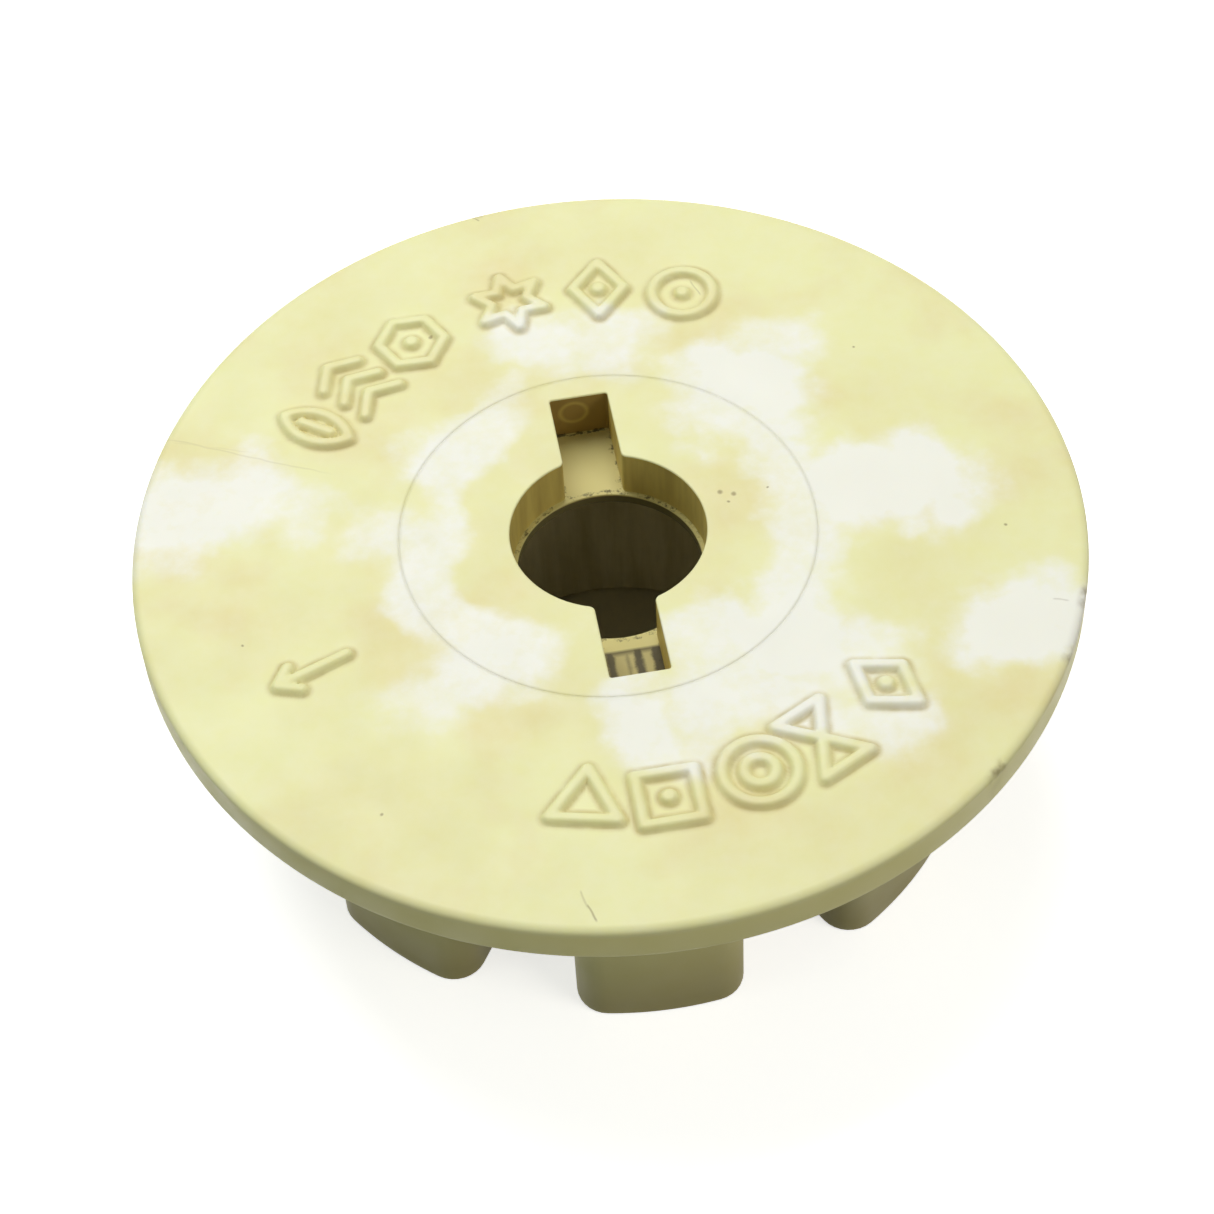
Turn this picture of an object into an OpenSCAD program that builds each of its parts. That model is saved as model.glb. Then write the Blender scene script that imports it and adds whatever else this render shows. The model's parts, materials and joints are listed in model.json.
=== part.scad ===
// Drop-in stitch-pattern cam disc for a sewing machine.
// A flat brim carries raised marks, an eight-lobed cam hangs under it, and a hub with a
// keyhole for the machine's spindle fills the middle, flush with the brim's face.
// Origin: on the spindle axis, at the bottom face. +Z runs up through the face.

/* [Overall] */
// Height from the bottom of the cam to the face, in mm
disc_h = 13.3; // [10:0.1:20]
// Radial clearance of the pressed fit between the hub and what surrounds it, in mm
fit_gap = 0.02; // [0:0.01:0.1]

/* [Brim] */
// Diameter of the brim, in mm
brim_d = 41; // [39:0.5:55]
// Thickness of the brim, in mm
brim_t = 1.9; // [1.4:0.1:2.6]
// Radius of the brim's two outer edges, in mm
brim_edge_r = 0.28; // [0.1:0.02:0.6]

/* [Cam ring] */
// Number of lobes
lobe_count = 8; // [4:1:9]
// Diameter over the lobe tips, in mm
cam_tip_d = 32.2; // [26:0.2:38]
// Thickness of the ring's wall between two lobes, in mm
ring_wall = 0.88; // [0.5:0.02:2]
// Angle that one lobe spans, in degrees
lobe_span = 28.4; // [16:0.2:32]
// Turn of the lobes from the slot's direction, in degrees
lobe_phase = -2.8; // [-20:0.1:20]
// Radius of a lobe's two outer corners, in mm
lobe_corner_r = 1.4; // [0.4:0.05:1.6]
// Radius of the fillet between a lobe and the floor, in mm
lobe_root_r = 1.2; // [0.2:0.1:1.4]

/* [Keyhole] */
// Diameter of the keyhole's round part, in mm
keyhole_d = 8.5; // [7.5:0.1:10.5]
// Depth of the keyhole from the face down to the web, in mm
keyhole_depth = 2.4; // [1:0.1:4]
// Distance between the two slot ends, in mm
slot_span = 15.8; // [12.8:0.1:19]
// Width of both slots, in mm
slot_w = 2.6; // [1.5:0.1:3.4]

/* [Hub] */
// Wall left between a slot's end and the hub's outside, in mm
slot_end_wall = 1.1; // [0.6:0.1:2]
// Thickness of the wall around the socket that is open at the bottom, in mm
hub_wall = 1.6; // [1:0.1:2.4]
// Thickness of the web that closes the socket, in mm
web_t = 0.5; // [0.3:0.1:1.5]
// Width of the ledge that the web leaves at the bottom of the keyhole, in mm
web_ledge = 0.2; // [0.2:0.05:1]

/* [Raised marks] */
// Height of the marks above the face, in mm
mark_rise = 0.25; // [0.1:0.05:0.6]
// Width of one raised line, in mm
mark_line = 0.55; // [0.3:0.05:0.8]
// Distance from the brim's rim to the circle that the marks are centred on, in mm
mark_inset = 6.15; // [3.5:0.05:7]
// Height of one mark along the radius, in mm
mark_size = 3.8; // [2:0.1:4.2]

/* [Hidden] */
$fn = 96;

CREAM = "#ece8b4";
CREAM_DEEP = "#d9d3a0";
CREAM_SHADE = "#b9b288";

EPS = 0.01;        // overrun of a cut past the face that it opens
TOUCH = 0.0005;    // how far a rounding circle passes the sides that it is tangent to
MARK_ROOT = 0.3;   // how far the marks reach down into the brim

brim_r = brim_d / 2;
mark_ring_r = brim_r - mark_inset;
hub_r = slot_span / 2 + slot_end_wall;
socket_r = hub_r - hub_wall;
spindle_r = keyhole_d / 2 - web_ledge;
seat_r = hub_r + fit_gap;
tip_r = cam_tip_d / 2;
base_r = seat_r + ring_wall;
cam_h = disc_h - brim_t;
web_top = disc_h - keyhole_depth;
socket_h = web_top - web_t;

// Half of the lobe's angle, and half of the gap's
lobe_half = lobe_span / 2;
gap_half = 180 / lobe_count - lobe_half;
// The root fillet is held to what fits between two lobes
root_limit = base_r * sin(gap_half) / (1 - sin(gap_half));
root_r = min(lobe_root_r, 0.95 * root_limit);
// Where the corner and fillet circles are centred: distance from the axis, and angle
corner_at = tip_r - lobe_corner_r;
corner_turn = lobe_half - asin(lobe_corner_r / corner_at);
root_at = base_r + root_r;
root_turn = lobe_half + asin(root_r / root_at);

// Angles of the marks, anticlockwise from +X; +Y is the slot's direction
UPPER_MARKS = [144.5, 132.5, 118.5, 98.5, 82, 66.5];
LOWER_MARKS = [-103.5, -90, -74.5, -62.5, -47];
INDEX_MARK = 201;

// ---- small helpers ---------------------------------------------------------------------

function on_ray(r, a) = [r * cos(a), r * sin(a)];

// A point of a regular star or polygon with n corners, corner i, at radius r
function corner(r, n, i) = on_ray(r, 90 + i * 360 / n);

// A raised line from a to b with round ends
module line(a, b) {
    run = b - a;
    translate(a) rotate(atan2(run[1], run[0])) {
        translate([0, -mark_line / 2]) square([norm(run), mark_line]);
        circle(d = mark_line);
        translate([norm(run), 0]) circle(d = mark_line);
    }
}

// A closed outline of raised lines through the given points
module outline(points) {
    for (i = [0 : len(points) - 1])
        line(points[i], points[(i + 1) % len(points)]);
}

module ring(r) {
    difference() {
        circle(r = r + mark_line / 2);
        circle(r = r - mark_line / 2);
    }
}

module dot() circle(d = 1.3 * mark_line);

// ---- the marks: plain stitch signs, drawn around [0, 0] with their tops at +y -----------

// Half height and half width that the marks' centre lines reach
mark_y = (mark_size - mark_line) / 2;
mark_x = 0.72 * mark_y;

module chevrons() {
    for (y = [-0.75, 0, 0.75] * mark_y) {
        line([-mark_x, y - 0.25 * mark_y], [0, y + 0.25 * mark_y]);
        line([0, y + 0.25 * mark_y], [mark_x, y - 0.25 * mark_y]);
    }
}

module lozenge() {
    outline([[0, mark_y], [mark_x, 0], [0, -mark_y], [-mark_x, 0]]);
    dot();
}

module hexagon() {
    outline([for (i = [0:5]) corner(0.92 * mark_y, 6, i)]);
    dot();
}

module star() {
    outline([for (i = [0:11]) corner((i % 2 == 0 ? 1 : 0.5) * mark_y, 12, i)]);
}

// A leaf between two arcs, with its vein
module leaf() {
    arc_r = 1.25 * mark_y;
    arc_off = sqrt(arc_r * arc_r - mark_y * mark_y);
    difference() {
        intersection_for (side = [-1, 1])
            translate([side * arc_off, 0]) circle(r = arc_r + mark_line / 2);
        intersection_for (side = [-1, 1])
            translate([side * arc_off, 0]) circle(r = arc_r - mark_line / 2);
    }
    line([0, -0.45 * mark_y], [0, 0.45 * mark_y]);
}

module eyelet() {
    ring(0.85 * mark_y);
    dot();
}

module triangle() outline([for (i = [0:2]) corner(mark_y, 3, i)]);

module tile() {
    side = 0.75 * mark_y;
    outline([[-side, -side], [side, -side], [side, side], [-side, side]]);
    dot();
}

module bow_tie() {
    outline([[-mark_x, mark_y], [mark_x, mark_y], [-mark_x, -mark_y], [mark_x, -mark_y]]);
}

module double_ring() {
    ring(0.95 * mark_y);
    ring(0.4 * mark_y);
}

module arrow() {
    line([0, -mark_y], [0, mark_y]);
    for (side = [-1, 1])
        line([0, mark_y], [side * 0.4 * mark_y, 0.5 * mark_y]);
}

// Puts a mark on its circle at angle a; turn 0 has its top outwards, 180 inwards
module place_mark(a, turn = 0) {
    rotate(a - 90) translate([0, mark_ring_r]) rotate(turn) children();
}

module all_marks() {
    place_mark(UPPER_MARKS[0]) leaf();
    place_mark(UPPER_MARKS[1]) chevrons();
    place_mark(UPPER_MARKS[2]) hexagon();
    place_mark(UPPER_MARKS[3]) star();
    place_mark(UPPER_MARKS[4]) lozenge();
    place_mark(UPPER_MARKS[5]) eyelet();
    place_mark(LOWER_MARKS[0], 180) triangle();
    place_mark(LOWER_MARKS[1], 180) tile();
    place_mark(LOWER_MARKS[2], 180) double_ring();
    place_mark(LOWER_MARKS[3], 180) bow_tie();
    place_mark(LOWER_MARKS[4], 180) lozenge();
    place_mark(INDEX_MARK) arrow();
}

// ---- pieces ----------------------------------------------------------------------------

// The flange: a flat ring with rounded outer edges and the raised marks
module brim() {
    // The seat is cut last, so a mark that reaches it ends there
    color(CREAM) difference() {
        union() {
            translate([0, 0, cam_h]) rotate_extrude() {
                translate([seat_r / 2, 0]) square([brim_r - brim_edge_r - seat_r / 2, brim_t]);
                translate([brim_r - 2 * brim_edge_r, brim_edge_r])
                    square([2 * brim_edge_r, brim_t - 2 * brim_edge_r]);
                for (z = [brim_edge_r, brim_t - brim_edge_r])
                    translate([brim_r - brim_edge_r, z]) circle(r = brim_edge_r);
            }
            translate([0, 0, disc_h - MARK_ROOT])
                linear_extrude(MARK_ROOT + mark_rise) all_marks();
        }
        cylinder(r = seat_r, h = disc_h + 2 * mark_rise);
    }
}

// The centre: a cup open at the bottom, with the keyhole cut into its closed top
module hub() {
    color(CREAM_DEEP) difference() {
        cylinder(r = hub_r, h = disc_h);
        translate([0, 0, -EPS]) cylinder(r = socket_r, h = socket_h + EPS);
        translate([0, 0, socket_h - EPS]) cylinder(r = spindle_r, h = web_t + 2 * EPS);
        translate([0, 0, web_top]) cylinder(d = keyhole_d, h = keyhole_depth + EPS);
        translate([-slot_w / 2, -slot_span / 2, web_top])
            cube([slot_w, slot_span, keyhole_depth + EPS]);
    }
}

// One lobe, pointing along +X, with its two root fillets. It starts inside the ring.
module lobe_outline() {
    start = hub_r / 2;
    flank_out = corner_at * cos(lobe_half - corner_turn);
    reach = 1.2 * tip_r;
    // The tip's arc between the two corners
    intersection() {
        circle(r = tip_r);
        polygon([
            on_ray(start, -corner_turn), on_ray(reach, -corner_turn),
            on_ray(reach, corner_turn), on_ray(start, corner_turn)
        ]);
    }
    // The body between the two flanks
    polygon([
        on_ray(start, -lobe_half),
        on_ray(flank_out, -lobe_half), on_ray(corner_at, -corner_turn),
        on_ray(corner_at, corner_turn), on_ray(flank_out, lobe_half),
        on_ray(start, lobe_half)
    ]);
    for (side = [-1, 1]) {
        translate(on_ray(corner_at, side * corner_turn)) circle(r = lobe_corner_r + TOUCH);
        root_fillet(side);
    }
}

// What fills the corner between a flank and the floor. Its sides cross both squarely,
// where the circle that hollows it touches them.
module root_fillet(side) {
    centre = on_ray(root_at, side * root_turn);
    to_flank = -side * on_ray(1, side * lobe_half + 90);
    inside_r = (base_r + seat_r) / 2;
    difference() {
        polygon([
            centre, centre + 2 * root_r * to_flank,
            on_ray(inside_r, side * 0.8 * lobe_half), on_ray(inside_r, side * root_turn)
        ]);
        translate(centre) circle(r = root_r + TOUCH);
    }
}

// A shape that is taller than the cam at both ends, by over
module taller(over) {
    translate([0, 0, -over]) linear_extrude(cam_h + 2 * over) children();
}

// The cam: a ring around the hub with the lobes that the follower rides on. The pieces
// of its outline run past both ends and are cut off together, flat.
module cam_ring() {
    color(CREAM_SHADE) intersection() {
        cylinder(r = 1.1 * tip_r, h = cam_h);
        difference() {
            union() {
                taller(1) circle(r = base_r);
                for (i = [0 : lobe_count - 1])
                    rotate(90 + lobe_phase + i * 360 / lobe_count) taller(2) lobe_outline();
            }
            taller(3) circle(r = seat_r);
        }
    }
}

brim();
hub();
cam_ring();
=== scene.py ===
"""Stitch pattern cam disc: a cream moulded disc that drops on to a sewing machine's cam spindle.

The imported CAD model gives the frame. The brim, the hub and the cam ring are rebuilt here as fine
closed meshes around it, with soft moulded edges and raised marks, and get the finish of old plastic:
cream that has yellowed where the wall is thin and has clouded white where it is thick.
"""

import json
import math

import bmesh
import bpy
import numpy as np
from bpy.props import FloatProperty, FloatVectorProperty, PointerProperty
from mathutils import Matrix, Vector


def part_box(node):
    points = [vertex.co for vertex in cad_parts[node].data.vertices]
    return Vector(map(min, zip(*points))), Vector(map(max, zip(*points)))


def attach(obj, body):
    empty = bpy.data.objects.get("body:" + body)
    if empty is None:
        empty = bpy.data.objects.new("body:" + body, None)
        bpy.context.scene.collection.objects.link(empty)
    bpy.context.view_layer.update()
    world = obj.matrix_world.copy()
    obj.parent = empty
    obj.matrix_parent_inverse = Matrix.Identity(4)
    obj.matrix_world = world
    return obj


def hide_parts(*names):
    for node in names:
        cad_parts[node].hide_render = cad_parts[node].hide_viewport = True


bl_info = {
    "name": "Stitch pattern cam disc",
    "version": (1, 0, 0),
    "blender": (4, 5, 0),
    "location": "View3D > Sidebar > Cam disc",
    "description": "Builds a moulded stitch cam: marked brim, keyed hub and lobed cam ring",
    "category": "Add Mesh",
}

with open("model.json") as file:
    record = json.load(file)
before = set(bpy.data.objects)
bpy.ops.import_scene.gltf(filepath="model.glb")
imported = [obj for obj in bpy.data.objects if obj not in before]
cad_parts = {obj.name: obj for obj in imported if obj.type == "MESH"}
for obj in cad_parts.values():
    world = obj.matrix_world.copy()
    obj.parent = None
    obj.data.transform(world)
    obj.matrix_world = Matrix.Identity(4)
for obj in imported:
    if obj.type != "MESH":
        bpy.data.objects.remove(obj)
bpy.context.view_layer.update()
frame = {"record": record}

MM = 0.001

# ---- sizes that come from the frame ------------------------------------------------------

MOUNTS = {mount["name"]: mount for mount in frame["record"]["mounts"]}
BRIM_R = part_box("brim")[1][0]
HUB_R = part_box("hub")[1][0]
FACE_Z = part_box("hub")[1][2]
CAM_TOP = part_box("cam_ring")[1][2]
MARK_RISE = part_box("brim")[1][2] - FACE_Z
KEYHOLE_R = MOUNTS["keyhole"]["dims"]["r_mm"] * MM
KEYHOLE_FLOOR = FACE_Z - MOUNTS["keyhole"]["dims"]["length_mm"] * MM
SPINDLE_R = MOUNTS["spindle_hole"]["dims"]["r_mm"] * MM
WEB_UNDER = KEYHOLE_FLOOR - MOUNTS["spindle_hole"]["dims"]["length_mm"] * MM
SOCKET_R = MOUNTS["spindle_socket"]["dims"]["r_mm"] * MM

# ---- sizes that the frame does not state -------------------------------------------------

FIT_GAP = 0.02 * MM
CAM_TIP_R = 16.1 * MM
CAM_BASE_R = 9.9 * MM
LOBES = 8
LOBE_HALF = math.radians(14.2)
LOBE_PHASE = math.radians(90 - 2.8)
LOBE_CORNER_R = 1.4 * MM
LOBE_ROOT_R = 1.2 * MM
BRIM_EDGE_R = 0.28 * MM
SEAM_EDGE = 0.01 * MM
# Distance of the extra loop that keeps the surface beside a rounded edge flat
EDGE_LOOP = 0.12 * MM
RIM_ROLL = 0.42 * MM
MARK_RING_R = BRIM_R - 6.15 * MM
MARK_LINE = 0.55 * MM
SOCKET_MOUTH = 0.2 * MM
SOCKET_FILLET = 0.4 * MM
WEB_EDGE_R = 0.035 * MM

# Angles of the marks round the face, in degrees from +X
UPPER_MARKS = (144.5, 132.5, 118.5, 98.5, 82, 66.5)
LOWER_MARKS = (-103.5, -90, -74.5, -62.5, -47)
INDEX_MARK = 201


def length(name, description, default):
    """A size that a user may change, in scene units."""
    return FloatProperty(name=name, description=description, default=default, unit="LENGTH", precision=5)


def shade(name, description, code):
    """A colour that a user may change, given as sRGB hex and kept linear."""
    return FloatVectorProperty(
        name=name, description=description, subtype="COLOR", size=4, min=0, max=1, default=to_linear(code)
    )


def to_linear(code):
    """sRGB hex, such as "#ece8b4", to a linear colour with alpha 1."""
    parts = [int(code[i : i + 2], 16) / 255 for i in (1, 3, 5)]
    low = [part / 12.92 for part in parts]
    high = [((part + 0.055) / 1.055) ** 2.4 for part in parts]
    return tuple(h if part > 0.04045 else l for part, l, h in zip(parts, low, high)) + (1.0,)


class DiscSizes(bpy.types.PropertyGroup):
    """Sizes of the moulded details."""

    slot_width: length("Slot width", "Width of the keyhole's two slots", 2.6 * MM)
    slot_reach: length("Slot reach", "From the axis to a slot's end", 7.9 * MM)
    slot_corner: length("Slot corner", "Radius in the slot's inner corners", 0.12 * MM)
    keyhole_corner: length("Keyhole corner", "Radius where a slot meets the round hole", 0.3 * MM)
    lip: length("Lip", "Rounding of the keyhole's upper edge", 0.07 * MM)
    mark_line: length("Mark line", "Width of a raised line at half its height", 0.5 * MM)
    mark_slope: length("Mark slope", "Width of a raised line's sloping side", 0.24 * MM)
    mark_height: length("Mark size", "Height of a mark along the radius", 3.8 * MM)
    lobe_edge: length("Lobe edge", "Rounding of the cam's lower edges", 0.14 * MM)


class DiscColours(bpy.types.PropertyGroup):
    """Colours of the aged plastic, its dirt, the painted shade in some of its hollows, and the stage."""

    cream: shade("Cream", "Yellowed plastic over a thin wall", "#e8e7a0")
    cream_deep: shade("Deep cream", "Where the yellowing is strongest", "#e1da8f")
    amber: shade("Amber", "Brown staining along the clouds' edges", "#dfcd80")
    cloud: shade("Cloud", "White clouding over a thick wall", "#f2f2e9")
    # Dust in the seam round the hub, and dust with painted crease shade round the foot of the marks
    dust_and_shade: shade("Dust", "Dirt at the foot of the marks", "#c4b57a")
    grime: shade("Grime", "Handling dirt in edges, scratches and corners", "#6f5a34")
    soot: shade("Soot", "Black lint and old oil in the keyhole's corners", "#241c10")
    # Also laid on the spindle hole's short wall, as old oil and painted shade
    oil_film: shade("Oil film", "Oil-soaked plastic on the keyhole's walls", "#d5c26e")
    worn: shade("Worn floor", "The web's rubbed upper side", "#d3c987")
    # On the far slot's end wall this colour is brown stain and painted shade
    stain: shade("Stain", "Brown stain at the far slot's end and in streaks", "#9a8146")
    oil: shade("Oil stain", "Brown stain inside the socket", "#d2caac")
    # On the cam this colour makes the plastic darker towards its lower end; in the socket it colours the
    # streaks
    rubbed: shade("Rubbed cam", "Where the follower and fingers darkened the cam", "#a89d68")
    stage: shade("Stage", "Floor and backdrop", "#ffffff")


# ---- mesh helpers ------------------------------------------------------------------------


def ring_points(radius, count, start=0.0):
    """Points on a circle, anticlockwise."""
    turn = start + np.arange(count) * math.tau / count
    return np.column_stack([radius * np.cos(turn), radius * np.sin(turn)])


def arc_points(centre, radius, start, end, count):
    """Points on an arc from angle start to angle end, both included."""
    turn = np.linspace(start, end, count)
    return np.column_stack([centre[0] + radius * np.cos(turn), centre[1] + radius * np.sin(turn)])


def straight_points(start, end, count):
    """Inner points of a straight line, without its ends."""
    share = np.linspace(0, 1, count + 2)[1:-1, None]
    return (1 - share) * np.asarray(start) + share * np.asarray(end)


def at_height(flat, z):
    """A loop in the plane, lifted to z, which is a number or one value per point."""
    return np.column_stack([flat, np.broadcast_to(z, len(flat))])


def tube_mesh(name, loops, material_of=None):
    """A closed mesh through loops of equal length, the last one joined to the first.

    material_of gives the material slot of the faces that start at each loop.
    """
    rows, columns = len(loops), len(loops[0])
    index = np.arange(rows * columns).reshape(rows, columns)
    after = np.roll(index, -1, axis=0)
    quads = np.stack([index, np.roll(index, -1, axis=1), np.roll(after, -1, axis=1), after], axis=-1)
    mesh = bpy.data.meshes.new(name)
    mesh.from_pydata(np.concatenate(loops).tolist(), [], quads.reshape(-1, 4).tolist())
    if material_of is not None:
        slots = np.repeat(np.asarray(material_of, dtype=np.int32), columns)
        mesh.polygons.foreach_set("material_index", slots)
    mesh.validate()
    work = bmesh.new()
    work.from_mesh(mesh)
    bmesh.ops.recalc_face_normals(work, faces=work.faces)
    work.to_mesh(mesh)
    work.free()
    mesh.polygons.foreach_set("use_smooth", [True] * len(mesh.polygons))
    mesh.set_sharp_from_angle(angle=math.radians(50))
    piece = bpy.data.objects.new(name, mesh)
    bpy.context.scene.collection.objects.link(piece)
    return piece


def stand_for(piece, node, slot, *materials):
    """Puts a piece in a CAD node's place, with its materials. The slot argument is not used."""
    for material in materials:
        piece.data.materials.append(material)
    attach(piece, "root")
    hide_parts(node)


# ---- the raised marks --------------------------------------------------------------------


def corner(radius, count, i):
    """Corner i of a regular figure whose first corner points up."""
    turn = math.pi / 2 + i * math.tau / count
    return radius * math.cos(turn), radius * math.sin(turn)


def closed(points):
    """The straight lines of a closed outline."""
    return [(*a, *b) for a, b in zip(points, points[1:] + points[:1])]


def open_path(points):
    """The straight lines of an open path."""
    return [(*a, *b) for a, b in zip(points, points[1:])]


def mark_shapes(high):
    """Each mark as its straight lines, the radii of its rings and whether it has a dot.

    high is half the height that the lines' middles reach; a mark's top is at +y.
    """
    wide = 0.72 * high
    chevrons = []
    for y in (-0.75 * high, 0, 0.75 * high):
        chevrons += open_path([(-wide, y - 0.25 * high), (0, y + 0.25 * high), (wide, y - 0.25 * high)])
    arc_r = 1.25 * high
    arc_off = math.sqrt(arc_r**2 - high**2)
    half_turn = math.asin(high / arc_r)
    leaf = open_path([(0, -0.45 * high), (0, 0.45 * high)])
    for side in (-1, 1):
        bow = arc_points((0, 0), arc_r, -half_turn, half_turn, 17) - (arc_off, 0)
        leaf += open_path([(side * x, y) for x, y in bow])
    tile = 0.75 * high
    return {
        "leaf": (leaf, (), False),
        "chevrons": (chevrons, (), False),
        "hexagon": (closed([corner(0.92 * high, 6, i) for i in range(6)]), (), True),
        "star": (closed([corner((0.5 if i % 2 else 1) * high, 12, i) for i in range(12)]), (), False),
        "lozenge": (closed([(0, high), (wide, 0), (0, -high), (-wide, 0)]), (), True),
        "eyelet": ([], (0.85 * high,), True),
        "triangle": (closed([corner(high, 3, i) for i in range(3)]), (), False),
        "tile": (closed([(-tile, -tile), (tile, -tile), (tile, tile), (-tile, tile)]), (), True),
        "double_ring": ([], (0.95 * high, 0.4 * high), False),
        "bow_tie": (closed([(-wide, high), (wide, high), (-wide, -high), (wide, -high)]), (), False),
        "arrow": (
            open_path([(0, -high), (0, high)])
            + [(0, high, side * 0.4 * high, 0.5 * high) for side in (-1, 1)],
            (),
            False,
        ),
    }


def placed_marks():
    """The name, angle and turn of every mark: turn 0 has its top outwards, pi inwards."""
    upper = zip(("leaf", "chevrons", "hexagon", "star", "lozenge", "eyelet"), UPPER_MARKS)
    lower = zip(("triangle", "tile", "double_ring", "bow_tie", "lozenge"), LOWER_MARKS)
    return (
        [(name, angle, 0.0) for name, angle in upper]
        + [(name, angle, math.pi) for name, angle in lower]
        + [("arrow", INDEX_MARK, 0.0)]
    )


def line_distance(points, line):
    """Distance of points from one straight line between two ends."""
    start, end = np.array(line[:2]), np.array(line[2:])
    run = end - start
    share = np.clip((points - start) @ run / (run @ run), 0, 1)
    return np.linalg.norm(points - start - share[:, None] * run, axis=1)


def mark_distance(points, sizes):
    """Distance of points on the face from the middle of the nearest raised line."""
    nearest = np.full(len(points), 1.0)
    high = (sizes.mark_height - MARK_LINE) / 2
    shapes = mark_shapes(high)
    dot_extra = 0.1 * MM
    for name, angle, turn in placed_marks():
        lines, rings, dot = shapes[name]
        spin = math.radians(angle) - math.pi / 2
        own = points @ np.array([[math.cos(spin), -math.sin(spin)], [math.sin(spin), math.cos(spin)]])
        own = (own - (0, MARK_RING_R)) * math.cos(turn)
        close = np.flatnonzero(np.abs(own).max(axis=1) < high + MM)
        own = own[close]
        radius = np.linalg.norm(own, axis=1)
        ways = [line_distance(own, line) for line in lines]
        ways += [np.abs(radius - ring) for ring in rings]
        if dot:
            ways.append(radius - dot_extra)
        nearest[close] = np.minimum(nearest[close], np.min(ways, axis=0))
    return nearest


def soft_step(x):
    """0 below 0, 1 above 1, and smooth between."""
    x = np.clip(x, 0, 1)
    return x * x * (3 - 2 * x)


# ---- material helpers --------------------------------------------------------------------


def add(tree, kind, inputs=None, **settings):
    """Adds a node, sets its settings, and gives its inputs values or links."""
    made = tree.nodes.new(kind)
    for key, value in settings.items():
        setattr(made, key, value)
    for key, value in (inputs or {}).items():
        if isinstance(value, bpy.types.NodeSocket):
            tree.links.new(value, made.inputs[key])
        else:
            made.inputs[key].default_value = value
    return made


def seen_rays(tree):
    """1 for the rays by which the backdrop is seen, straight or in a shiny or clear piece, else 0."""
    path = add(tree, "ShaderNodeLightPath")
    seen = path.outputs["Is Camera Ray"]
    for ray in ("Is Glossy Ray", "Is Transmission Ray"):
        seen = add(tree, "ShaderNodeMath", {0: seen, 1: path.outputs[ray]}, operation="MAXIMUM").outputs[0]
    return seen


def new_tree(name):
    """A new material and its empty node tree."""
    material = bpy.data.materials.new(name)
    material.use_nodes = True
    material.node_tree.nodes.clear()
    return material, material.node_tree


# Where the plastic has clouded white: x, y and radius in mm, and strength
CLOUDS = (
    # over the lobe on the left
    (-17.6, 5.0, 2.5, 0.90),
    (-14.7, 5.2, 1.9, 0.85),
    (-18.7, 2.3, 1.5, 0.60),
    (-12.8, 3.6, 1.1, 0.65),
    (-6.1, 5.7, 1.7, 0.75),
    # beyond the far slot
    (-1.7, 11.5, 1.8, 0.85),
    (1.8, 10.6, 2.0, 0.75),
    (4.0, 11.0, 1.2, 0.60),
    # right of the far slot
    (7.4, 7.4, 2.0, 1.00),
    (9.8, 9.2, 1.2, 0.75),
    (8.4, 5.4, 1.5, 0.90),
    # over the lobe on the right
    (11.2, 0.4, 2.6, 1.00),
    (14.2, 0.9, 1.9, 1.00),
    (15.2, -0.9, 1.2, 0.90),
    (14.6, 2.2, 0.7, 0.60),
    # towards the rim on the right
    (15.5, -8.1, 2.0, 1.00),
    (17.9, -8.4, 1.3, 0.95),
    (17.6, -6.8, 0.9, 0.80),
    (13.5, -7.4, 0.9, 0.50),
    # right of the near slot
    (6.6, -6.4, 2.4, 1.00),
    (9.3, -8.2, 1.7, 0.85),
    (6.0, -10.6, 1.9, 0.90),
    (9.0, -12.3, 1.7, 0.80),
    (3.2, -9.4, 1.7, 0.85),
    # before the near slot
    (-0.6, -10.9, 1.8, 0.90),
    (1.7, -12.0, 1.3, 0.75),
    # left of the near slot
    (-6.3, -6.2, 1.9, 0.85),
    (-8.2, -8.0, 1.2, 0.75),
    (-9.8, -7.8, 0.8, 0.60),
    (-10.2, 1.4, 1.1, 0.75),
    (-8.3, -1.2, 1.4, 0.85),
)
# The ring of clouding over the hub's wall: radii in mm where it starts, is full, fades and ends
CLOUD_RING = (5.5, 7.1, 9.2, 11.0)
CLOUD_RING_STRENGTH = 0.78
# Where that ring is missing: x, y and radius in mm
CLEAR_PATCHES = (
    (0.4, 8.4, 3.4),
    (-1.6, -8.2, 2.8),
    (-9.0, 3.4, 1.6),
)
# Hair-thin scratches: the two ends' x and y in mm, and strength
SCRATCHES = (
    (-18.9, 9.45, -11.2, 5.45, 0.13),
    (-18.2, 8.9, -14.5, 7.5, 0.07),
    (-4.20, -18.0, -4.03, -19.0, 0.25),
    (-4.07, -18.7, -3.8, -19.6, 0.50),
    (-3.1, 20.2, -2.7, 19.8, 0.40),
    (17.6, -7.5, 18.3, -7.7, 0.25),
    (6.2, 14.0, 6.5, 12.9, 0.30),
)
# Dark specks: x, y and radius in mm
SPECKS = (
    (-5.94, 12.86, 0.11),
    (5.65, 0.94, 0.10),
    (5.15, 1.15, 0.12),
    (5.35, 0.55, 0.07),
    (7.20, 0.98, 0.06),
    (-11.5, -12.9, 0.08),
    (12.6, 8.3, 0.06),
    (16.7, -3.1, 0.08),
    (-16.1, -3.2, 0.06),
)
# Dark bars on the near slot's floor: middle and half width in mm, and strength
SLOT_BARS = (
    (-0.90, 0.14, 0.80),
    (-0.15, 0.04, 0.45),
    (0.32, 0.16, 0.85),
    (1.15, 0.22, 0.85),
)
# Brown handling dirt on the rim: x and y in mm, and radius
RIM_GRIME = (
    (18.95, -7.65, 0.5),
    (17.6, -10.45, 0.45),
    (13.3, -15.6, 0.6),
    (-2.9, 20.2, 0.4),
)


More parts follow.
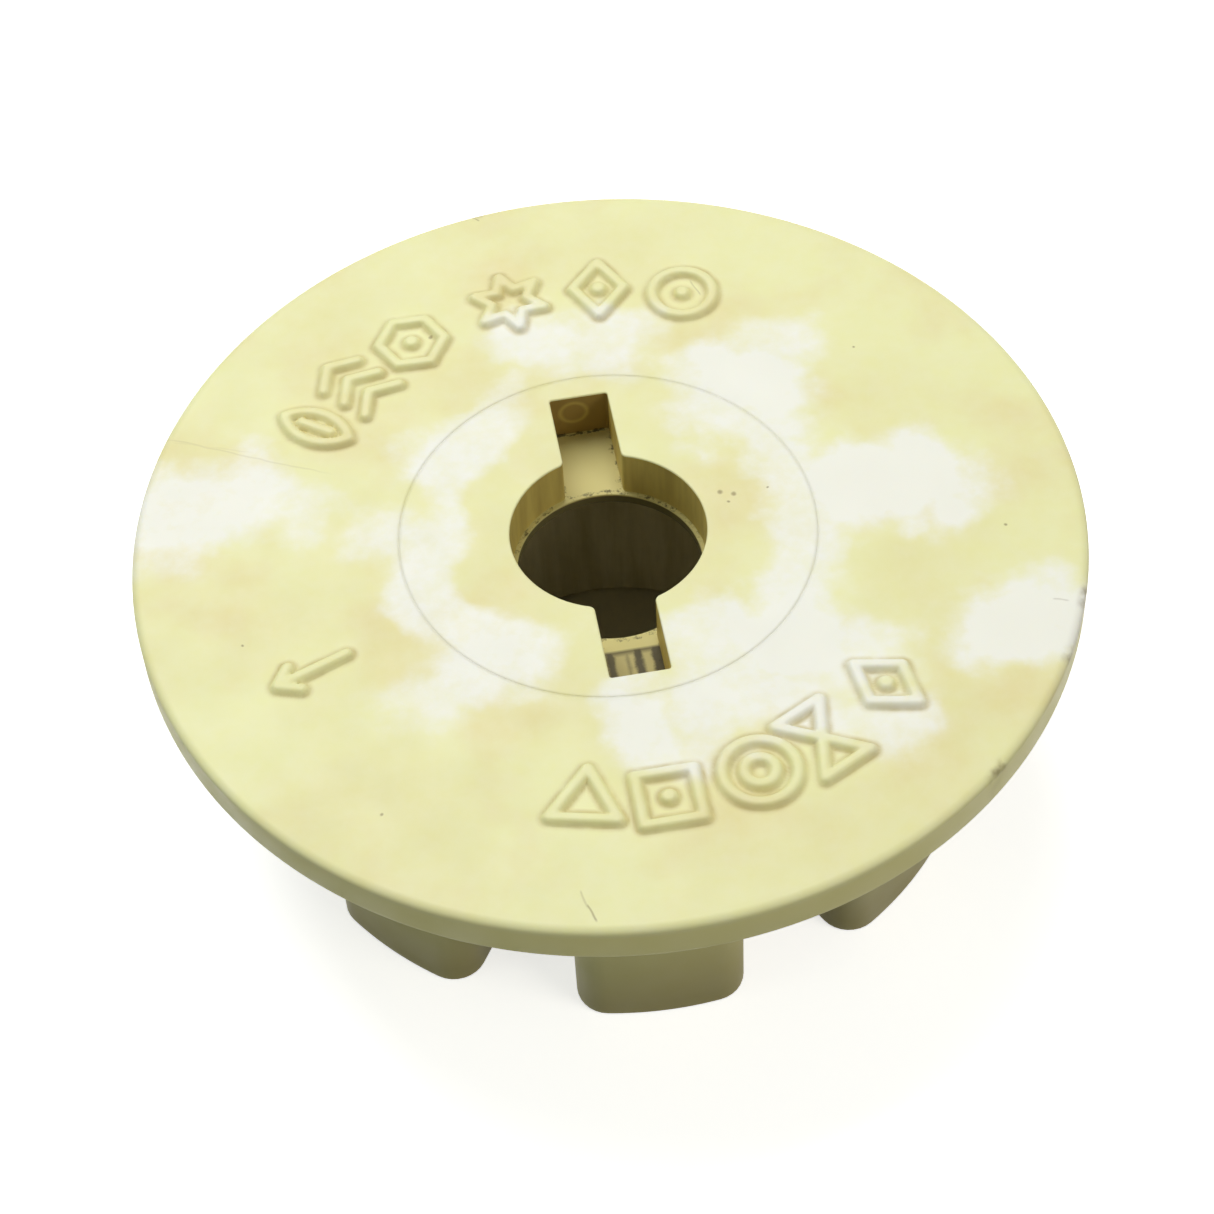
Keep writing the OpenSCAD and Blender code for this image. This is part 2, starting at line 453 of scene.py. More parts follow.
def clouding(tree, spot):
    """How white the plastic is at a warped place in mm, from 0 to 1."""
    away = add(tree, "ShaderNodeVectorMath", {0: spot}, operation="LENGTH").outputs["Value"]
    starts, full, fades, ends = CLOUD_RING
    total = CLOUD_RING_STRENGTH
    for clear, white in ((starts, full), (ends, fades)):
        part = add(
            tree, "ShaderNodeMapRange",
            {"Value": away, "From Min": clear, "From Max": white},
            interpolation_type="SMOOTHSTEP",
        )
        total = add(tree, "ShaderNodeMath", {0: total, 1: part.outputs[0]}, operation="MULTIPLY").outputs[0]
    for x, y, radius in CLEAR_PATCHES:
        gap = add(tree, "ShaderNodeVectorMath", {0: spot, 1: (x, y, 0.0)}, operation="DISTANCE")
        kept = add(
            tree, "ShaderNodeMapRange",
            {
                "Value": gap.outputs["Value"],
                "From Min": radius - 1.2,
                "From Max": radius + 1.2,
                "To Min": 0.15,
            },
            interpolation_type="SMOOTHSTEP",
        )
        total = add(tree, "ShaderNodeMath", {0: total, 1: kept.outputs[0]}, operation="MULTIPLY").outputs[0]
    for x, y, radius, strength in CLOUDS:
        gap = add(tree, "ShaderNodeVectorMath", {0: spot, 1: (x, y, 0.0)}, operation="DISTANCE")
        cloud = add(
            tree, "ShaderNodeMapRange",
            {
                "Value": gap.outputs["Value"],
                "From Min": radius + 1.7,
                "From Max": radius - 0.7,
                "To Max": strength,
            },
            interpolation_type="SMOOTHSTEP",
        )
        total = add(
            tree, "ShaderNodeMath", {0: total, 1: cloud.outputs[0], 2: 0.3}, operation="SMOOTH_MAX"
        ).outputs[0]
    return total


def warped(tree, place, scale, reach, detail):
    """A place in mm in the plane of the face, pushed about by noise by up to half of reach."""
    wisps = add(
        tree, "ShaderNodeTexNoise", {"Vector": place, "Scale": scale, "Detail": detail, "Roughness": 0.5}
    )
    centred = add(
        tree, "ShaderNodeVectorMath", {0: wisps.outputs["Color"], 1: (0.5, 0.5, 0.5)}, operation="SUBTRACT"
    )
    pushed = add(
        tree, "ShaderNodeVectorMath", {0: centred.outputs[0], 1: (reach, reach, 0.0)}, operation="MULTIPLY"
    )
    flat = add(tree, "ShaderNodeVectorMath", {0: place, 1: (1.0, 1.0, 0.0)}, operation="MULTIPLY")
    return add(
        tree, "ShaderNodeVectorMath", {0: flat.outputs[0], 1: pushed.outputs[0]}, operation="ADD"
    ).outputs[0]


def aged_plastic(tree, colours, place):
    """Colour of the old plastic at a place in mm: cream, deeper cream, amber and white clouds."""
    drift = add(tree, "ShaderNodeTexNoise", {"Vector": place, "Scale": 0.14, "Detail": 3.0})
    depth = add(
        tree, "ShaderNodeMapRange", {"Value": drift.outputs["Fac"], "From Min": 0.4, "From Max": 0.75}
    )
    fine = add(
        tree, "ShaderNodeTexNoise", {"Vector": place, "Scale": 1.1, "Detail": 5.0, "Roughness": 0.65}
    )
    broken = add(
        tree, "ShaderNodeMapRange",
        {"Value": fine.outputs["Fac"], "From Min": 0.3, "From Max": 0.7, "To Min": -0.15, "To Max": 0.15},
    )
    white = clouding(tree, warped(tree, place, 0.24, 6.0, 4.0))
    edge = add(
        tree, "ShaderNodeMapRange",
        {"Value": white, "From Min": 0.0, "From Max": 0.5},
        interpolation_type="SMOOTHSTEP",
    )
    ruffled = add(
        tree, "ShaderNodeMath",
        {0: broken.outputs[0], 1: edge.outputs[0], 2: white},
        operation="MULTIPLY_ADD",
    )
    cloud = add(
        tree, "ShaderNodeMapRange",
        {"Value": ruffled.outputs[0], "From Min": 0.03, "From Max": 0.88, "To Max": 0.95},
    )
    # Brown staining lies in the thin outer fringe of a cloud, in patches
    fringe = add(
        tree, "ShaderNodeMapRange",
        {"Value": white, "From Min": 0.0, "From Max": 0.12},
        interpolation_type="SMOOTHSTEP",
    )
    patches = add(tree, "ShaderNodeTexNoise", {"Vector": place, "Scale": 0.2, "Detail": 3.0})
    stained = add(
        tree, "ShaderNodeMapRange",
        {"Value": patches.outputs["Fac"], "From Min": 0.45, "From Max": 0.75, "To Max": 0.6},
        interpolation_type="SMOOTHSTEP",
    )
    amber = add(tree, "ShaderNodeMath", {0: fringe.outputs[0], 1: stained.outputs[0]}, operation="MULTIPLY")
    colour = colours.cream
    for share, coat in ((depth, colours.cream_deep), (amber, colours.amber), (cloud, colours.cloud)):
        layer = {0: share.outputs[0], 6: colour, 7: coat}
        colour = add(tree, "ShaderNodeMix", layer, data_type="RGBA").outputs[2]
    return colour


def millimetres(tree):
    """The place on the piece in mm, from its own coordinates."""
    where = add(tree, "ShaderNodeTexCoord")
    return add(
        tree, "ShaderNodeVectorMath", {0: where.outputs["Object"], "Scale": 1 / MM}, operation="SCALE"
    ).outputs[0]


def finish_plastic(tree, colour, place, roughness, sheen=0.25):
    """The shader of injection-moulded nylon: a soft sheen, a little light let in, a fine skin."""
    skin = add(tree, "ShaderNodeTexNoise", {"Vector": place, "Scale": 3.2, "Detail": 3.0})
    bump = add(
        tree, "ShaderNodeBump", {"Height": skin.outputs["Fac"], "Strength": 0.06, "Distance": 0.05 * MM}
    )
    rubbed = add(tree, "ShaderNodeTexNoise", {"Vector": place, "Scale": 0.5, "Detail": 4.0})
    dull = add(
        tree, "ShaderNodeMapRange",
        {
            "Value": rubbed.outputs["Fac"],
            "From Min": 0.3,
            "From Max": 0.7,
            "To Min": roughness - 0.06,
            "To Max": roughness + 0.1,
        },
    )
    shader = add(
        tree, "ShaderNodeBsdfPrincipled",
        {
            "Base Color": colour,
            "Roughness": dull.outputs[0],
            "IOR": 1.53,
            "Specular IOR Level": sheen,
            "Subsurface Weight": 0.12,
            "Subsurface Radius": (1.0, 0.8, 0.45),
            "Subsurface Scale": 0.6 * MM,
            "Normal": bump.outputs["Normal"],
        },
    )
    add(tree, "ShaderNodeOutputMaterial", {"Surface": shader.outputs[0]})


def scratch(tree, flat, line):
    """How much of a hair-thin scratch lies at a place in mm, from 0 to its strength."""
    x, y, end_x, end_y, strength = line
    run = math.hypot(end_x - x, end_y - y)
    shifted = add(tree, "ShaderNodeVectorMath", {0: flat, 1: (x, y, 0.0)}, operation="SUBTRACT")
    along = add(
        tree, "ShaderNodeVectorRotate",
        {"Vector": shifted.outputs[0], "Angle": -math.atan2(end_y - y, end_x - x)},
        rotation_type="Z_AXIS",
    )
    parts = add(tree, "ShaderNodeSeparateXYZ", {0: along.outputs[0]})
    aside = add(tree, "ShaderNodeMath", {0: parts.outputs["Y"]}, operation="ABSOLUTE")
    thin = add(
        tree, "ShaderNodeMapRange",
        {"Value": aside.outputs[0], "From Min": 0.07, "From Max": 0.01, "To Max": strength},
        interpolation_type="SMOOTHSTEP",
    )
    middle = add(tree, "ShaderNodeMath", {0: parts.outputs["X"], 1: run / 2}, operation="SUBTRACT")
    off = add(tree, "ShaderNodeMath", {0: middle.outputs[0]}, operation="ABSOLUTE")
    within = add(
        tree, "ShaderNodeMapRange", {"Value": off.outputs[0], "From Min": run / 2, "From Max": 0.35 * run}
    )
    return add(
        tree, "ShaderNodeMath", {0: thin.outputs[0], 1: within.outputs[0]}, operation="MULTIPLY"
    ).outputs[0]


def handling_marks(tree, place):
    """Scratches, specks and the dirt on the rim, from 0 to 1."""
    flat = warped(tree, place, 0.9, 0.25, 1.0)
    total = 0.0
    for line in SCRATCHES:
        total = add(
            tree, "ShaderNodeMath", {0: total, 1: scratch(tree, flat, line)}, operation="MAXIMUM"
        ).outputs[0]
    for x, y, radius in SPECKS:
        gap = add(tree, "ShaderNodeVectorMath", {0: flat, 1: (x, y, 0.0)}, operation="DISTANCE")
        dot = add(
            tree, "ShaderNodeMapRange",
            {
                "Value": gap.outputs["Value"],
                "From Min": 1.3 * radius,
                "From Max": 0.5 * radius,
                "To Max": 0.6,
            },
        )
        total = add(tree, "ShaderNodeMath", {0: total, 1: dot.outputs[0]}, operation="MAXIMUM").outputs[0]
    away = add(tree, "ShaderNodeVectorMath", {0: flat}, operation="LENGTH")
    at_rim = add(
        tree, "ShaderNodeMapRange",
        {"Value": away.outputs["Value"], "From Min": BRIM_R / MM - 0.5, "From Max": BRIM_R / MM - 0.05},
        interpolation_type="SMOOTHSTEP",
    )
    crumbs = add(tree, "ShaderNodeTexNoise", {"Vector": place, "Scale": 1.3, "Detail": 3.0})
    patchy = add(
        tree, "ShaderNodeMapRange", {"Value": crumbs.outputs["Fac"], "From Min": 0.38, "From Max": 0.66}
    )
    rubbed = add(tree, "ShaderNodeMath", {0: at_rim.outputs[0], 1: patchy.outputs[0]}, operation="MULTIPLY")
    for x, y, radius in RIM_GRIME:
        gap = add(tree, "ShaderNodeVectorMath", {0: flat, 1: (x, y, 0.0)}, operation="DISTANCE")
        near = add(
            tree, "ShaderNodeMapRange",
            {
                "Value": gap.outputs["Value"],
                "From Min": 1.5 * radius,
                "From Max": 0.4 * radius,
                "To Max": 0.75,
            },
            interpolation_type="SMOOTHSTEP",
        )
        spot = add(tree, "ShaderNodeMath", {0: near.outputs[0], 1: rubbed.outputs[0]}, operation="MULTIPLY")
        total = add(tree, "ShaderNodeMath", {0: total, 1: spot.outputs[0]}, operation="MAXIMUM").outputs[0]
    return total


def moulded_nylon_face(colours):
    """Injection-moulded nylon, long in use: satin, yellowed, with dust and painted crease shade at the foot
    of the marks.
    """
    material, tree = new_tree("aged_moulded_nylon_face")
    place = millimetres(tree)
    # Dust and painted crease shade round the foot of the marks, broken up by noise
    lint = add(tree, "ShaderNodeTexNoise", {"Vector": place, "Scale": 0.8, "Detail": 4.0})
    uneven = add(
        tree, "ShaderNodeMapRange",
        {"Value": lint.outputs["Fac"], "From Min": 0.35, "From Max": 0.65, "To Min": 0.3, "To Max": 0.85},
    )
    foot = add(tree, "ShaderNodeAttribute", attribute_name="mark_foot")
    foot_dust_and_shade = add(
        tree, "ShaderNodeMath", {0: foot.outputs["Fac"], 1: uneven.outputs[0]}, operation="MULTIPLY"
    )
    # The seam between the hub and the brim, filled with a little dust
    flat = add(tree, "ShaderNodeVectorMath", {0: place, 1: (1.0, 1.0, 0.0)}, operation="MULTIPLY")
    away = add(tree, "ShaderNodeVectorMath", {0: flat.outputs[0]}, operation="LENGTH")
    off = add(tree, "ShaderNodeMath", {0: away.outputs["Value"], 1: HUB_R / MM}, operation="SUBTRACT")
    near = add(tree, "ShaderNodeMath", {0: off.outputs[0]}, operation="ABSOLUTE")
    seam = add(
        tree, "ShaderNodeMapRange",
        {"Value": near.outputs[0], "From Min": 0.16, "From Max": 0.03, "To Max": 0.1},
        interpolation_type="SMOOTHSTEP",
    )
    dust_and_foot_shade = add(tree, "ShaderNodeMath", {0: seam.outputs[0], 1: foot_dust_and_shade.outputs[0]}, operation="MAXIMUM")
    # The rim's side is evenly deep cream: it shows little of the clouding and the dirt
    parts = add(tree, "ShaderNodeSeparateXYZ", {0: place})
    face_z = FACE_Z / MM
    side = add(
        tree, "ShaderNodeMapRange",
        {"Value": parts.outputs["Z"], "From Min": face_z - 0.08, "From Max": face_z - 0.5, "To Max": 0.85},
        interpolation_type="SMOOTHSTEP",
    )
    coats = (
        # dust in the seam, and dust with painted crease shade at the foot of the marks
        (dust_and_foot_shade.outputs[0], colours.dust_and_shade),
        (handling_marks(tree, place), colours.grime),
        (side.outputs[0], colours.cream_deep),
    )
    colour = aged_plastic(tree, colours, place)
    for share, coat in coats:
        layer = {0: share, 6: colour, 7: coat}
        colour = add(tree, "ShaderNodeMix", layer, data_type="RGBA").outputs[2]
    finish_plastic(tree, colour, place, 0.42)
    return material


def oil_streaks(tree, place):
    """How much oil has run down the walls at a place in mm."""
    drawn = add(tree, "ShaderNodeVectorMath", {0: place, 1: (1.3, 1.3, 0.12)}, operation="MULTIPLY")
    runs = add(
        tree, "ShaderNodeTexNoise",
        {"Vector": drawn.outputs[0], "Scale": 1.0, "Detail": 5.0, "Roughness": 0.6},
    )
    return add(
        tree, "ShaderNodeMapRange",
        {"Value": runs.outputs["Fac"], "From Min": 0.38, "From Max": 0.68, "To Max": 0.45},
    ).outputs[0]


def moulded_ring(tree, x, z, far_end):
    """The faint round mark on the far slot's end wall."""
    spot = add(tree, "ShaderNodeCombineXYZ", {"X": x, "Y": z})
    middle = (-0.25, KEYHOLE_FLOOR / MM + 1.4, 0.0)
    gap = add(tree, "ShaderNodeVectorMath", {0: spot.outputs[0], 1: middle}, operation="DISTANCE")
    off = add(tree, "ShaderNodeMath", {0: gap.outputs["Value"], 1: 0.6}, operation="SUBTRACT")
    off = add(tree, "ShaderNodeMath", {0: off.outputs[0]}, operation="ABSOLUTE")
    ring = add(
        tree, "ShaderNodeMapRange",
        {"Value": off.outputs[0], "From Min": 0.16, "From Max": 0.0, "To Max": 0.5},
    )
    return add(tree, "ShaderNodeMath", {0: ring.outputs[0], 1: far_end}, operation="MULTIPLY").outputs[0]


def slot_bars(tree, x, y, crumbs, near_slot):
    """The dark bars along the near slot's floor, and the dark line that they start from."""
    dark = add(
        tree, "ShaderNodeMapRange",
        {"Value": y, "From Min": -5.1, "From Max": -4.85, "To Min": 0.0, "To Max": 0.7},
    ).outputs[0]
    for middle, half_width, strength in SLOT_BARS:
        off = add(tree, "ShaderNodeMath", {0: x, 1: middle}, operation="SUBTRACT")
        off = add(tree, "ShaderNodeMath", {0: off.outputs[0]}, operation="ABSOLUTE")
        ragged = add(
            tree, "ShaderNodeMath", {0: crumbs, 1: 0.3, 2: off.outputs[0]}, operation="MULTIPLY_ADD"
        )
        bar = add(
            tree, "ShaderNodeMapRange",
            {
                "Value": ragged.outputs[0],
                "From Min": half_width + 0.28,
                "From Max": half_width + 0.08,
                "To Max": strength,
            },
            interpolation_type="SMOOTHSTEP",
        )
        dark = add(tree, "ShaderNodeMath", {0: dark, 1: bar.outputs[0]}, operation="MAXIMUM").outputs[0]
    return add(tree, "ShaderNodeMath", {0: dark, 1: near_slot}, operation="MULTIPLY").outputs[0]


def corner_soot(tree, place, parts, crumbs):
    """Lint and soot in the corner between the walls and the web."""
    x, y, z = parts
    floor = KEYHOLE_FLOOR / MM
    beside = add(tree, "ShaderNodeMath", {0: x}, operation="ABSOLUTE")
    flat = add(tree, "ShaderNodeVectorMath", {0: place, 1: (1.0, 1.0, 0.0)}, operation="MULTIPLY")
    away = add(tree, "ShaderNodeVectorMath", {0: flat.outputs[0]}, operation="LENGTH")
    bands = (
        # along the slots' sides
        {"Value": beside.outputs[0], "From Min": 0.7, "From Max": 1.3, "To Min": 0.55},
        # on the ledge round the spindle hole
        {"Value": away.outputs["Value"], "From Min": 4.9, "From Max": 4.25},
        # at the far slot's end
        {"Value": y, "From Min": 7.45, "From Max": 7.85, "To Max": 1.3},
    )
    band = 0.0
    for values in bands:
        part = add(tree, "ShaderNodeMapRange", values)
        band = add(tree, "ShaderNodeMath", {0: band, 1: part.outputs[0]}, operation="MAXIMUM").outputs[0]
    up_wall = add(tree, "ShaderNodeMapRange", {"Value": z, "From Min": floor + 0.55, "From Max": floor})
    level = crumbs
    for share in (band, up_wall.outputs[0]):
        level = add(tree, "ShaderNodeMath", {0: level, 1: share}, operation="MULTIPLY").outputs[0]
    soot = add(
        tree, "ShaderNodeMapRange", {"Value": level, "From Min": 0.5, "From Max": 0.62, "To Max": 0.75}
    )
    above = add(tree, "ShaderNodeMath", {0: z, 1: floor - 0.01}, operation="GREATER_THAN")
    return add(
        tree, "ShaderNodeMath", {0: soot.outputs[0], 1: above.outputs[0]}, operation="MULTIPLY"
    ).outputs[0]


def oiled_nylon_bore(colours):
    """The same nylon in the keyhole and the socket: ochre oil film, sooty corners, brown socket, with painted
    shade on the spindle hole's short wall and the far slot's end.
    """
    material, tree = new_tree("oil_stained_nylon_bore")
    place = millimetres(tree)
    split = add(tree, "ShaderNodeSeparateXYZ", {0: place})
    x, y, z = (split.outputs[axis] for axis in "XYZ")
    floor, under = KEYHOLE_FLOOR / MM, WEB_UNDER / MM
    streaks = oil_streaks(tree, place)
    far_end = add(tree, "ShaderNodeMath", {0: y, 1: 7.7}, operation="GREATER_THAN").outputs[0]
    crumbs = add(
        tree, "ShaderNodeTexNoise", {"Vector": place, "Scale": 2.2, "Detail": 4.0, "Roughness": 0.7}
    ).outputs["Fac"]
    near_slot = add(
        tree, "ShaderNodeMapRange", {"Value": y, "From Min": -4.7, "From Max": -4.85}
    ).outputs[0]
    greyed = add(tree, "ShaderNodeMath", {0: near_slot, 1: 0.34}, operation="MULTIPLY").outputs[0]
    on_web = add(tree, "ShaderNodeMapRange", {"Value": z, "From Min": floor + 0.06, "From Max": floor + 0.02})
    below = add(tree, "ShaderNodeMapRange", {"Value": z, "From Min": under + 0.1, "From Max": under - 0.1})
    # Dark old oil and painted shade round the edge of the spindle hole, on its short wall under the web's
    # worn upper side
    hole = add(tree, "ShaderNodeMapRange", {"Value": z, "From Min": floor - 0.05, "From Max": floor - 0.12})
    over = add(
        tree, "ShaderNodeMapRange", {"Value": z, "From Min": under - 0.05, "From Max": under, "To Max": 0.8}
    )
    throat_oil_and_shade = add(tree, "ShaderNodeMath", {0: hole.outputs[0], 1: over.outputs[0]}, operation="MULTIPLY")

    # Each surface is a base and the coats over it, each with its share
    surfaces = {
        "web": (
            colours.worn,
            (greyed, colours.grime),
            (slot_bars(tree, x, y, crumbs, near_slot), colours.soot),
        ),
        "socket": (colours.oil, (streaks, colours.rubbed)),
        "wall": (
            colours.oil_film,
            (streaks, colours.stain),
            # brown stain and painted shade over the far slot's end wall
            (far_end, colours.stain),
            (moulded_ring(tree, x, z, far_end), colours.oil_film),
            (on_web.outputs[0], "web"),
            (corner_soot(tree, place, (x, y, z), crumbs), colours.soot),
            (below.outputs[0], "socket"),
            # old oil and painted shade on the spindle hole's short wall
            (throat_oil_and_shade.outputs[0], colours.soot),
        ),
    }
    done = {}
    for name, (colour, *coats) in surfaces.items():
        for share, coat in coats:
            layer = {0: share, 6: colour, 7: done[coat] if isinstance(coat, str) else coat}
            colour = add(tree, "ShaderNodeMix", layer, data_type="RGBA").outputs[2]
        done[name] = colour
    finish_plastic(tree, done["wall"], place, 0.45, 0.12)
    return material


def moulded_nylon_cam(colours):
    """The same nylon on the cam: evenly cream, and darker olive brown towards its lower end."""
    material, tree = new_tree("aged_moulded_nylon_cam")
    place = millimetres(tree)
    parts = add(tree, "ShaderNodeSeparateXYZ", {0: place})
    # Darker olive brown towards the cam's lower end
    lower = add(
        tree, "ShaderNodeMapRange",
        {"Value": parts.outputs["Z"], "From Min": 4.5, "From Max": 0.8, "To Min": 0.2, "To Max": 0.85},
    )
    colour = aged_plastic(tree, colours, place)
    for share, coat in ((0.65, colours.cream_deep), (lower.outputs[0], colours.rubbed)):
        layer = {0: share, 6: colour, 7: coat}
        colour = add(tree, "ShaderNodeMix", layer, data_type="RGBA").outputs[2]
    finish_plastic(tree, colour, place, 0.5)
    return material


# ---- the pieces --------------------------------------------------------------------------


class OBJECT_OT_marked_brim(bpy.types.Operator):
    """Makes the flat brim with its rounded rim and raised marks"""

    bl_idname = "cam_disc.marked_brim"
    bl_label = "Marked brim"

    def execute(self, context):
        sizes = context.scene.disc_sizes
        columns = 960
        seat = HUB_R + FIT_GAP
        reach, clear = 2.25 * MM, 0.3 * MM
        band = (MARK_RING_R - reach, MARK_RING_R + reach)
        edge = BRIM_R - BRIM_EDGE_R
        roll = BRIM_R - RIM_ROLL
        face = np.concatenate(
            [
                [seat + SEAM_EDGE, seat + EDGE_LOOP],
                np.linspace(seat + 0.4 * MM, band[0] - clear, 6),
                np.linspace(*band, 57),
                np.linspace(band[1] + clear, roll - clear, 7),
            ]
        )
        # Dust has filled the top of the gap round the hub, a little below the face
        profile = [(seat, CAM_TOP), (seat, FACE_Z - EDGE_LOOP), (HUB_R + 0.001 * MM, FACE_Z - 0.012 * MM)]
        profile += [(seat, FACE_Z - 0.011 * MM), (seat, FACE_Z - SEAM_EDGE)]
        profile += [(radius, FACE_Z) for radius in face]
        for turn in np.linspace(math.pi / 2, 0, 11):
            across, up = RIM_ROLL * math.cos(turn), BRIM_EDGE_R * math.sin(turn)
            profile.append((roll + across, FACE_Z - BRIM_EDGE_R + up))
        for turn in np.linspace(0, -math.pi / 2, 7):
            across, up = BRIM_EDGE_R * math.cos(turn), BRIM_EDGE_R * math.sin(turn)
            profile.append((edge + across, CAM_TOP + BRIM_EDGE_R + up))
        profile += [(edge - EDGE_LOOP, CAM_TOP), (CAM_TIP_R, CAM_TOP), (seat + EDGE_LOOP, CAM_TOP)]
        loops = [at_height(ring_points(radius, columns), z) for radius, z in profile]
        points = np.concatenate(loops)
        nearest = mark_distance(points[:, :2], sizes)
        half = sizes.mark_line / 2
        rise = soft_step((half + sizes.mark_slope / 2 - nearest) / sizes.mark_slope)
        on_face = points[:, 2] > FACE_Z - 1e-7
        points[:, 2] += MARK_RISE * rise * on_face
        brim = tube_mesh("brim_shell", points.reshape(len(loops), columns, 3))
        # The band round the foot of every mark, which the face's material tints as dust and painted crease
        # shade
        foot = np.clip(1 - np.abs(nearest - half - sizes.mark_slope / 2) / (0.2 * MM), 0, 1) * on_face
        layer = brim.data.attributes.new("mark_foot", "FLOAT", "POINT")
        layer.data.foreach_set("value", foot.astype(np.float32))
        stand_for(brim, "brim", "brim_plastic", moulded_nylon_face(context.scene.disc_colours))
        return {"FINISHED"}


def keyhole_outline(sizes, out):
    """The keyhole's outline, moved outwards by out, as points anticlockwise from the middle of the
    slot end at +Y. Every value of out gives the same number of points in the same order."""
    half, reach = sizes.slot_width / 2, sizes.slot_reach
    inner, outer = sizes.slot_corner, sizes.keyhole_corner
    turn_at = (half + outer, math.sqrt((KEYHOLE_R + outer) ** 2 - (half + outer) ** 2))
    meets = math.atan2(turn_at[1], turn_at[0])
    corner_at = (half - inner, reach - inner)
    right = np.concatenate(
        [
            straight_points((0, reach + out), (corner_at[0], reach + out), 4),
            arc_points(corner_at, inner + out, math.pi / 2, 0, 5),
            straight_points((half + out, corner_at[1]), (half + out, turn_at[1]), 16),
            arc_points(turn_at, outer - out, math.pi, math.pi + meets, 8),
            arc_points((0, 0), KEYHOLE_R + out, meets, 0, 64)[1:],
        ]
    )
    # Right half of the upper slot, then its mirror images round the other three quarters
    upper_left = right[:-1] * (-1, 1)
    top = np.array([[0, reach + out]])
    lower_left = right[::-1] * (-1, -1)
    lower_right = right[:-1] * (1, -1)
    return np.concatenate([top, upper_left, lower_left, -top, lower_right, right[::-1]])


def to_circle(flat, radius):
    """The points moved along their rays on to a circle."""
    return flat * (radius / np.linalg.norm(flat, axis=1))[:, None]


class OBJECT_OT_keyed_hub(bpy.types.Operator):
    """Makes the hub: keyhole, slots, web with the spindle hole, and the socket below"""

    bl_idname = "cam_disc.keyed_hub"
    bl_label = "Keyed hub"

    def execute(self, context):
        sizes = context.scene.disc_sizes
        lip = sizes.lip
        face, bore = 0, 1
        rim = keyhole_outline(sizes, lip + 0.06 * MM)
        circle = to_circle(rim, HUB_R - EDGE_LOOP)
        wall = keyhole_outline(sizes, 0)
        rows = [
            (at_height(to_circle(rim, HUB_R), FACE_Z - SEAM_EDGE), face),
            (at_height(to_circle(rim, HUB_R - SEAM_EDGE), FACE_Z), face),
            (at_height(circle, FACE_Z), face),
        ]
        for share in (0.75, 0.5, 0.25):
            rows.append((at_height(share * circle + (1 - share) * rim, FACE_Z), face))
        rows.append((at_height(rim, FACE_Z), face))
        for turn in np.linspace(0, math.pi / 2, 5):
            out = lip * (1 - math.sin(turn))
            rows.append((at_height(keyhole_outline(sizes, out), FACE_Z - lip * (1 - math.cos(turn))), face))
        rows[-1] = (rows[-1][0], bore)
        for z in (FACE_Z - 0.2 * MM, FACE_Z - 1.2 * MM, KEYHOLE_FLOOR + 0.1 * MM, KEYHOLE_FLOOR):
            rows.append((at_height(wall, z), bore))
        hole = to_circle(wall, SPINDLE_R)
        for share in (0.97, 0.5, 0.0):
            edge = to_circle(wall, SPINDLE_R + WEB_EDGE_R)
            rows.append((at_height(share * wall + (1 - share) * edge, KEYHOLE_FLOOR), bore))
        for turn in np.linspace(0, math.pi / 2, 4)[1:]:
            out = WEB_EDGE_R * (1 - math.sin(turn))
            drop = WEB_EDGE_R * (1 - math.cos(turn))
            rows.append((at_height(to_circle(wall, SPINDLE_R + out), KEYHOLE_FLOOR - drop), bore))
        rows.append((at_height(hole, WEB_UNDER + 0.05 * MM), bore))
        rows.append((at_height(hole, WEB_UNDER), bore))
        for turn in np.linspace(math.pi / 2, 0, 5):
            across, up = SOCKET_FILLET * math.cos(turn), SOCKET_FILLET * math.sin(turn)
            corner_loop = to_circle(wall, SOCKET_R - SOCKET_FILLET + across)
            rows.append((at_height(corner_loop, WEB_UNDER - SOCKET_FILLET + up), bore))
        rows.append((at_height(to_circle(wall, SOCKET_R), SOCKET_MOUTH + 0.1 * MM), bore))
        rows.append((at_height(to_circle(wall, SOCKET_R), SOCKET_MOUTH), bore))
        rows.append((at_height(to_circle(wall, SOCKET_R + SOCKET_MOUTH), 0), face))
        rows.append((at_height(to_circle(wall, HUB_R - SEAM_EDGE), 0), face))
        rows.append((at_height(to_circle(wall, HUB_R), SEAM_EDGE), face))
        hub = tube_mesh("keyed_hub", [loop for loop, _ in rows], [slot for _, slot in rows])
        colours = context.scene.disc_colours
        stand_for(hub, "hub", "hub_plastic", moulded_nylon_face(colours), oiled_nylon_bore(colours))
        return {"FINISHED"}


def cam_outline(out):
    """The cam's outline moved outwards by out, anticlockwise, with as many points for every out."""
    corner_at = CAM_TIP_R - LOBE_CORNER_R
    corner_turn = LOBE_HALF - math.asin(LOBE_CORNER_R / corner_at)
    root_at = CAM_BASE_R + LOBE_ROOT_R
    root_turn = LOBE_HALF + math.asin(LOBE_ROOT_R / root_at)
    gap_middle = math.pi / LOBES
    quarter = math.pi / 2

    def on_ray(radius, turn):
        return radius * math.cos(turn), radius * math.sin(turn)

    top_corner = arc_points(
        on_ray(corner_at, corner_turn), LOBE_CORNER_R + out, corner_turn, LOBE_HALF + quarter, 9
    )
    root = arc_points(
        on_ray(root_at, root_turn), LOBE_ROOT_R - out, LOBE_HALF - quarter, root_turn - math.pi, 9
    )
    half = np.concatenate(
        [
            arc_points((0, 0), CAM_TIP_R + out, 0, corner_turn, 10)[:-1],
            top_corner,
            straight_points(top_corner[-1], root[0], 10),
            root,
            arc_points((0, 0), CAM_BASE_R + out, root_turn, gap_middle, 5)[1:],
        ]
    )
    lobe = np.concatenate([half[:0:-1] * (1, -1), half[:-1]])
    parts = []
    for i in range(LOBES):
        turn = LOBE_PHASE + i * math.tau / LOBES
        spin = np.array([[math.cos(turn), math.sin(turn)], [-math.sin(turn), math.cos(turn)]])
        parts.append(lobe @ spin)
    return np.concatenate(parts)


